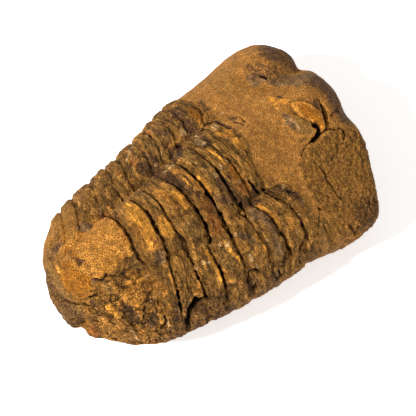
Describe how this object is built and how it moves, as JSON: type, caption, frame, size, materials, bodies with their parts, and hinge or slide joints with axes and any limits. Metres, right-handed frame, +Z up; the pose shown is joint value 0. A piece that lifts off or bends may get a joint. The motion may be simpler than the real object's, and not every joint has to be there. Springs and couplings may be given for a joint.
{
  "type": "trilobite fossil",
  "caption": "Loose fossil of a trilobite on a lump of brown siltstone, ringed back up, head half covered by stone with a broken corner, lying on a flat spot of its belly.",
  "frame": {"origin": "middle of the bounding box, at the flat spot of the belly that the fossil lies on", "axes": "+Y along the body from the tail to the head, +X towards the animal's right side, +Z up out of its back"},
  "size_m": [0.0556, 0.0854, 0.0351],
  "materials": {
    "siltstone": "dull brown siltstone stained with orange iron oxide, grey and olive patches"
  },
  "bodies": {
    "root": {"trilobite_fossil": "siltstone"}
  },
  "joints": []
}
